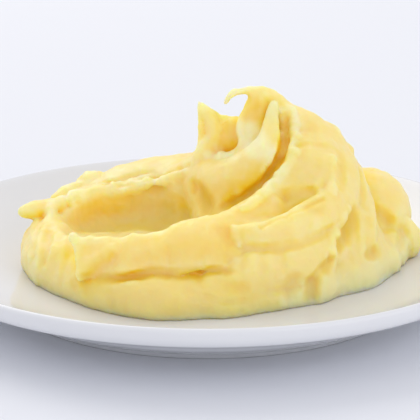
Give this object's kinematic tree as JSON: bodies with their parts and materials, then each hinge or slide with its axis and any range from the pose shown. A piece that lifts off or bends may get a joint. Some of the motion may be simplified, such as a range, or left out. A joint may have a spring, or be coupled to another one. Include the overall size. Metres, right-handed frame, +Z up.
{
  "type": "mashed potato side",
  "caption": "Spooned swirl of pale yellow mashed potato with a curled peak, on a round white coupe plate.",
  "frame": {"origin": "middle of the plate's foot, on the table", "axes": "+Z up; the mound's flap and valley face -Y and its tall cone is towards +X"},
  "size_m": [0.21, 0.21, 0.0701],
  "materials": {
    "glazed_porcelain": "smooth clear glaze over white porcelain",
    "mashed_potato": "smooth, moist, buttery potato puree with soft spoon marks"
  },
  "bodies": {
    "root": {"plate": "glazed_porcelain", "mash": "mashed_potato"}
  },
  "joints": []
}
